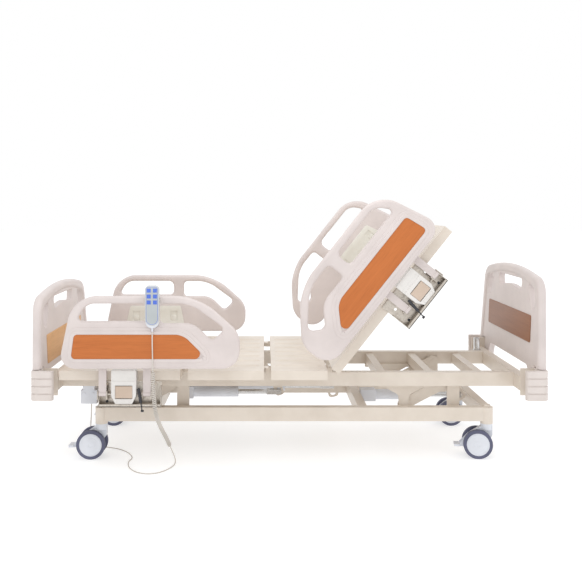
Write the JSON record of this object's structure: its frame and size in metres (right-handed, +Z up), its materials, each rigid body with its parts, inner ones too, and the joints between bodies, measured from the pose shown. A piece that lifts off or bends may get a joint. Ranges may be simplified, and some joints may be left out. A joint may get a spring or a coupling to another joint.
{
  "type": "adjustable hospital bed",
  "caption": "Electric hospital bed on braked casters: parallelogram lift, hinged sheet-steel deck with raised back, end boards, drop-down side rails and a corded handset.",
  "frame": {"origin": "on the floor under the middle of the bed", "axes": "+X from the foot end to the head end, +Y from the near side to the far side, +Z up"},
  "size_m": [2.1758, 1.0595, 1.1278],
  "materials": {
    "painted_steel": "satin powder coat",
    "abs_cream": "satin moulded",
    "bumper": "matte ribbed",
    "wood_inlay": "wood-grain film",
    "bright_steel": "zinc plated",
    "release_plastic": "moulded",
    "dark_plastic": "moulded",
    "grey_plastic": "moulded",
    "tyre": "matte",
    "handset_plastic": "moulded",
    "key_blue": "printed membrane",
    "cord_grey": "extruded"
  },
  "bodies": {
    "base": {"base_frame": "painted_steel", "lift_drive_motor": "dark_plastic"},
    "caster_fork_foot_near": {"caster_fork_foot_near": "grey_plastic"},
    "caster_wheels_foot_near": {"caster_wheels_foot_near": "tyre"},
    "caster_pedal_foot_near": {"caster_pedal_foot_near": "grey_plastic"},
    "caster_fork_foot_far": {"caster_fork_foot_far": "grey_plastic"},
    "caster_wheels_foot_far": {"caster_wheels_foot_far": "tyre"},
    "caster_pedal_foot_far": {"caster_pedal_foot_far": "grey_plastic"},
    "caster_fork_head_near": {"caster_fork_head_near": "grey_plastic"},
    "caster_wheels_head_near": {"caster_wheels_head_near": "tyre"},
    "caster_pedal_head_near": {"caster_pedal_head_near": "grey_plastic"},
    "caster_fork_head_far": {"caster_fork_head_far": "grey_plastic"},
    "caster_wheels_head_far": {"caster_wheels_head_far": "tyre"},
    "caster_pedal_head_far": {"caster_pedal_head_far": "grey_plastic"},
    "lift_arm_head": {"lift_arm_head": "painted_steel"},
    "lift_arm_foot": {"lift_arm_foot": "painted_steel"},
    "lift_drive_rod": {"lift_drive_rod": "bright_steel"},
    "upper": {"upper_frame": "painted_steel", "corner_bumpers": "bumper", "foot_board": "abs_cream", "head_board": "abs_cream", "board_inserts": "wood_inlay", "seat_section": "painted_steel", "back_drive_motor": "dark_plastic", "knee_drive_motor": "dark_plastic", "control_box": "grey_plastic", "pole_socket": "bright_steel", "rail_mounts_foot": "painted_steel", "cord_curl": "cord_grey", "cord_tail": "cord_grey"},
    "thigh": {"thigh_section": "painted_steel"},
    "leg": {"leg_section": "painted_steel"},
    "knee_drive_rod": {"knee_drive_rod": "bright_steel"},
    "back": {"back_section": "painted_steel", "rail_mounts_back": "painted_steel"},
    "back_drive_rod": {"back_drive_rod": "bright_steel"},
    "rail_arms_foot_near": {"rail_arms_foot_near": "bright_steel"},
    "rail_foot_near": {"rail_shell_foot_near": "abs_cream", "rail_insert_foot_near": "wood_inlay", "handset_shell": "handset_plastic", "cord_lead": "cord_grey"},
    "rail_release_foot_near": {"rail_release_foot_near": "release_plastic"},
    "rail_arms_foot_far": {"rail_arms_foot_far": "bright_steel"},
    "rail_foot_far": {"rail_shell_foot_far": "abs_cream", "rail_insert_foot_far": "wood_inlay"},
    "rail_release_foot_far": {"rail_release_foot_far": "release_plastic"},
    "rail_arms_back_near": {"rail_arms_back_near": "bright_steel"},
    "rail_back_near": {"rail_shell_back_near": "abs_cream", "rail_insert_back_near": "wood_inlay"},
    "rail_release_back_near": {"rail_release_back_near": "release_plastic"},
    "rail_arms_back_far": {"rail_arms_back_far": "bright_steel"},
    "rail_back_far": {"rail_shell_back_far": "abs_cream", "rail_insert_back_far": "wood_inlay"},
    "rail_release_back_far": {"rail_release_back_far": "release_plastic"},
    "handset_key_1": {"handset_key_1": "key_blue"},
    "handset_key_2": {"handset_key_2": "key_blue"},
    "handset_key_3": {"handset_key_3": "key_blue"},
    "handset_key_4": {"handset_key_4": "key_blue"},
    "handset_key_5": {"handset_key_5": "key_blue"},
    "handset_key_6": {"handset_key_6": "key_blue"}
  },
  "joints": [
    {"name": "caster_swivel_foot_near", "type": "hinge", "parent": "base", "child": "caster_fork_foot_near", "pos_m": [-0.819, -0.27, 0.17], "axis": [0, 0, 1], "continuous": true},
    {"name": "caster_roll_foot_near", "type": "hinge", "parent": "caster_fork_foot_near", "child": "caster_wheels_foot_near", "pos_m": [-0.859, -0.27, 0.0625], "axis": [0, 1, 0], "continuous": true},
    {"name": "brake_pedal_foot_near", "type": "hinge", "parent": "caster_fork_foot_near", "child": "caster_pedal_foot_near", "pos_m": [-0.885, -0.27, 0.091], "axis": [0, -1, 0], "range_deg": [0, 15]},
    {"name": "caster_swivel_foot_far", "type": "hinge", "parent": "base", "child": "caster_fork_foot_far", "pos_m": [-0.819, 0.27, 0.17], "axis": [0, 0, 1], "continuous": true},
    {"name": "caster_roll_foot_far", "type": "hinge", "parent": "caster_fork_foot_far", "child": "caster_wheels_foot_far", "pos_m": [-0.859, 0.27, 0.0625], "axis": [0, 1, 0], "continuous": true},
    {"name": "brake_pedal_foot_far", "type": "hinge", "parent": "caster_fork_foot_far", "child": "caster_pedal_foot_far", "pos_m": [-0.885, 0.27, 0.091], "axis": [0, -1, 0], "range_deg": [0, 15]},
    {"name": "caster_swivel_head_near", "type": "hinge", "parent": "base", "child": "caster_fork_head_near", "pos_m": [0.871, -0.27, 0.17], "axis": [0, 0, 1], "continuous": true},
    {"name": "caster_roll_head_near", "type": "hinge", "parent": "caster_fork_head_near", "child": "caster_wheels_head_near", "pos_m": [0.83139, -0.26443, 0.0625], "axis": [0.1392, 0.9903, 0], "continuous": true},
    {"name": "brake_pedal_head_near", "type": "hinge", "parent": "caster_fork_head_near", "child": "caster_pedal_head_near", "pos_m": [0.80564, -0.26082, 0.091], "axis": [-0.1392, -0.9903, 0], "range_deg": [0, 15]},
    {"name": "caster_swivel_head_far", "type": "hinge", "parent": "base", "child": "caster_fork_head_far", "pos_m": [0.871, 0.27, 0.17], "axis": [0, 0, 1], "continuous": true},
    {"name": "caster_roll_head_far", "type": "hinge", "parent": "caster_fork_head_far", "child": "caster_wheels_head_far", "pos_m": [0.831, 0.27, 0.0625], "axis": [0, 1, 0], "continuous": true},
    {"name": "brake_pedal_head_far", "type": "hinge", "parent": "caster_fork_head_far", "child": "caster_pedal_head_far", "pos_m": [0.805, 0.27, 0.091], "axis": [0, -1, 0], "range_deg": [0, 15]},
    {"name": "lift", "type": "hinge", "parent": "base", "child": "lift_arm_head", "pos_m": [0.735, 0, 0.33], "axis": [0, 1, 0], "range_deg": [0, 69.3], "deforming": ["cord_tail"]},
    {"name": "lift_level", "type": "hinge", "parent": "lift_arm_head", "child": "upper", "pos_m": [0.515, 0, 0.215], "axis": [0, 1, 0], "range_deg": [-69.3, 0]},
    {"name": "lift_follow", "type": "hinge", "parent": "base", "child": "lift_arm_foot", "pos_m": [-0.465, 0, 0.33], "axis": [0, 1, 0], "range_deg": [0, 69.3]},
    {"name": "lift_rod_slide", "type": "slide", "parent": "base", "child": "lift_drive_rod", "axis": [1, 0, 0], "range_m": [-0.15451, 0]},
    {"name": "knee_raise", "type": "hinge", "parent": "upper", "child": "thigh", "pos_m": [-0.091, 0, 0.394], "axis": [0, 1, 0], "range_deg": [0, 40]},
    {"name": "leg_fold", "type": "hinge", "parent": "thigh", "child": "leg", "pos_m": [-0.44, 0, 0.394], "axis": [0, 1, 0], "range_deg": [-64, 0]},
    {"name": "knee_rod_slide", "type": "slide", "parent": "upper", "child": "knee_drive_rod", "axis": [1, 0, 0], "range_m": [-0.11159, 0]},
    {"name": "back_raise", "type": "hinge", "parent": "upper", "child": "back", "pos_m": [0.178, 0, 0.394], "axis": [0, -1, 0], "range_deg": [-51.5, 23.5]},
    {"name": "back_rod_slide", "type": "slide", "parent": "upper", "child": "back_drive_rod", "axis": [1, 0, 0], "range_m": [-0.15264, 0.06992]},
    {"name": "rail_swing_foot_near", "type": "hinge", "parent": "upper", "child": "rail_arms_foot_near", "pos_m": [-0.6, -0.47, 0.32], "axis": [1, 0, 0], "range_deg": [0, 145], "deforming": ["cord_curl"]},
    {"name": "rail_level_foot_near", "type": "hinge", "parent": "rail_arms_foot_near", "child": "rail_foot_near", "pos_m": [-0.6, -0.47, 0.456], "axis": [1, 0, 0], "range_deg": [-145, 0]},
    {"name": "rail_latch_foot_near", "type": "hinge", "parent": "upper", "child": "rail_release_foot_near", "pos_m": [-0.6, -0.487, 0.352], "axis": [-1, 0, 0], "range_deg": [0, 25], "stiffness_Nm_per_rad": 0.3},
    {"name": "rail_swing_foot_far", "type": "hinge", "parent": "upper", "child": "rail_arms_foot_far", "pos_m": [-0.6, 0.47, 0.32], "axis": [-1, 0, 0], "range_deg": [0, 145]},
    {"name": "rail_level_foot_far", "type": "hinge", "parent": "rail_arms_foot_far", "child": "rail_foot_far", "pos_m": [-0.6, 0.47, 0.456], "axis": [-1, 0, 0], "range_deg": [-145, 0]},
    {"name": "rail_latch_foot_far", "type": "hinge", "parent": "upper", "child": "rail_release_foot_far", "pos_m": [-0.6, 0.487, 0.352], "axis": [1, 0, 0], "range_deg": [0, 25], "stiffness_Nm_per_rad": 0.3},
    {"name": "rail_swing_back_near", "type": "hinge", "parent": "back", "child": "rail_arms_back_near", "pos_m": [0.54717, -0.47, 0.73924], "axis": [0.6225, 0, 0.7826], "range_deg": [0, 145]},
    {"name": "rail_level_back_near", "type": "hinge", "parent": "rail_arms_back_near", "child": "rail_back_near", "pos_m": [0.44074, -0.47, 0.8239], "axis": [0.6225, 0, 0.7826], "range_deg": [-145, 0]},
    {"name": "rail_latch_back_near", "type": "hinge", "parent": "back", "child": "rail_release_back_near", "pos_m": [0.52213, -0.487, 0.75916], "axis": [-0.6225, 0, -0.7826], "range_deg": [0, 25], "stiffness_Nm_per_rad": 0.3},
    {"name": "rail_swing_back_far", "type": "hinge", "parent": "back", "child": "rail_arms_back_far", "pos_m": [0.54717, 0.47, 0.73924], "axis": [-0.6225, 0, -0.7826], "range_deg": [0, 145]},
    {"name": "rail_level_back_far", "type": "hinge", "parent": "rail_arms_back_far", "child": "rail_back_far", "pos_m": [0.44074, 0.47, 0.8239], "axis": [-0.6225, 0, -0.7826], "range_deg": [-145, 0]},
    {"name": "rail_latch_back_far", "type": "hinge", "parent": "back", "child": "rail_release_back_far", "pos_m": [0.52213, 0.487, 0.75916], "axis": [0.6225, 0, 0.7826], "range_deg": [0, 25], "stiffness_Nm_per_rad": 0.3},
    {"name": "key_press_1", "type": "slide", "parent": "rail_foot_near", "child": "handset_key_1", "axis": [0, 1, 0], "range_m": [0, 0.001], "stiffness_N_per_m": 300},
    {"name": "key_press_2", "type": "slide", "parent": "rail_foot_near", "child": "handset_key_2", "axis": [0, 1, 0], "range_m": [0, 0.001], "stiffness_N_per_m": 300},
    {"name": "key_press_3", "type": "slide", "parent": "rail_foot_near", "child": "handset_key_3", "axis": [0, 1, 0], "range_m": [0, 0.001], "stiffness_N_per_m": 300},
    {"name": "key_press_4", "type": "slide", "parent": "rail_foot_near", "child": "handset_key_4", "axis": [0, 1, 0], "range_m": [0, 0.001], "stiffness_N_per_m": 300},
    {"name": "key_press_5", "type": "slide", "parent": "rail_foot_near", "child": "handset_key_5", "axis": [0, 1, 0], "range_m": [0, 0.001], "stiffness_N_per_m": 300},
    {"name": "key_press_6", "type": "slide", "parent": "rail_foot_near", "child": "handset_key_6", "axis": [0, 1, 0], "range_m": [0, 0.001], "stiffness_N_per_m": 300}
  ],
  "couplings": [
    {"joint": "lift_level", "follows": "lift", "ratio": -1},
    {"joint": "lift_follow", "follows": "lift", "ratio": 1},
    {"joint": "lift_rod_slide", "follows": "lift", "m_per_rad": -0.12733},
    {"joint": "leg_fold", "follows": "knee_raise", "ratio": -1.6},
    {"joint": "knee_rod_slide", "follows": "knee_raise", "m_per_rad": -0.15912},
    {"joint": "back_rod_slide", "follows": "back_raise", "m_per_rad": 0.16926},
    {"joint": "rail_level_foot_near", "follows": "rail_swing_foot_near", "ratio": -1},
    {"joint": "rail_level_foot_far", "follows": "rail_swing_foot_far", "ratio": -1},
    {"joint": "rail_level_back_near", "follows": "rail_swing_back_near", "ratio": -1},
    {"joint": "rail_level_back_far", "follows": "rail_swing_back_far", "ratio": -1}
  ]
}
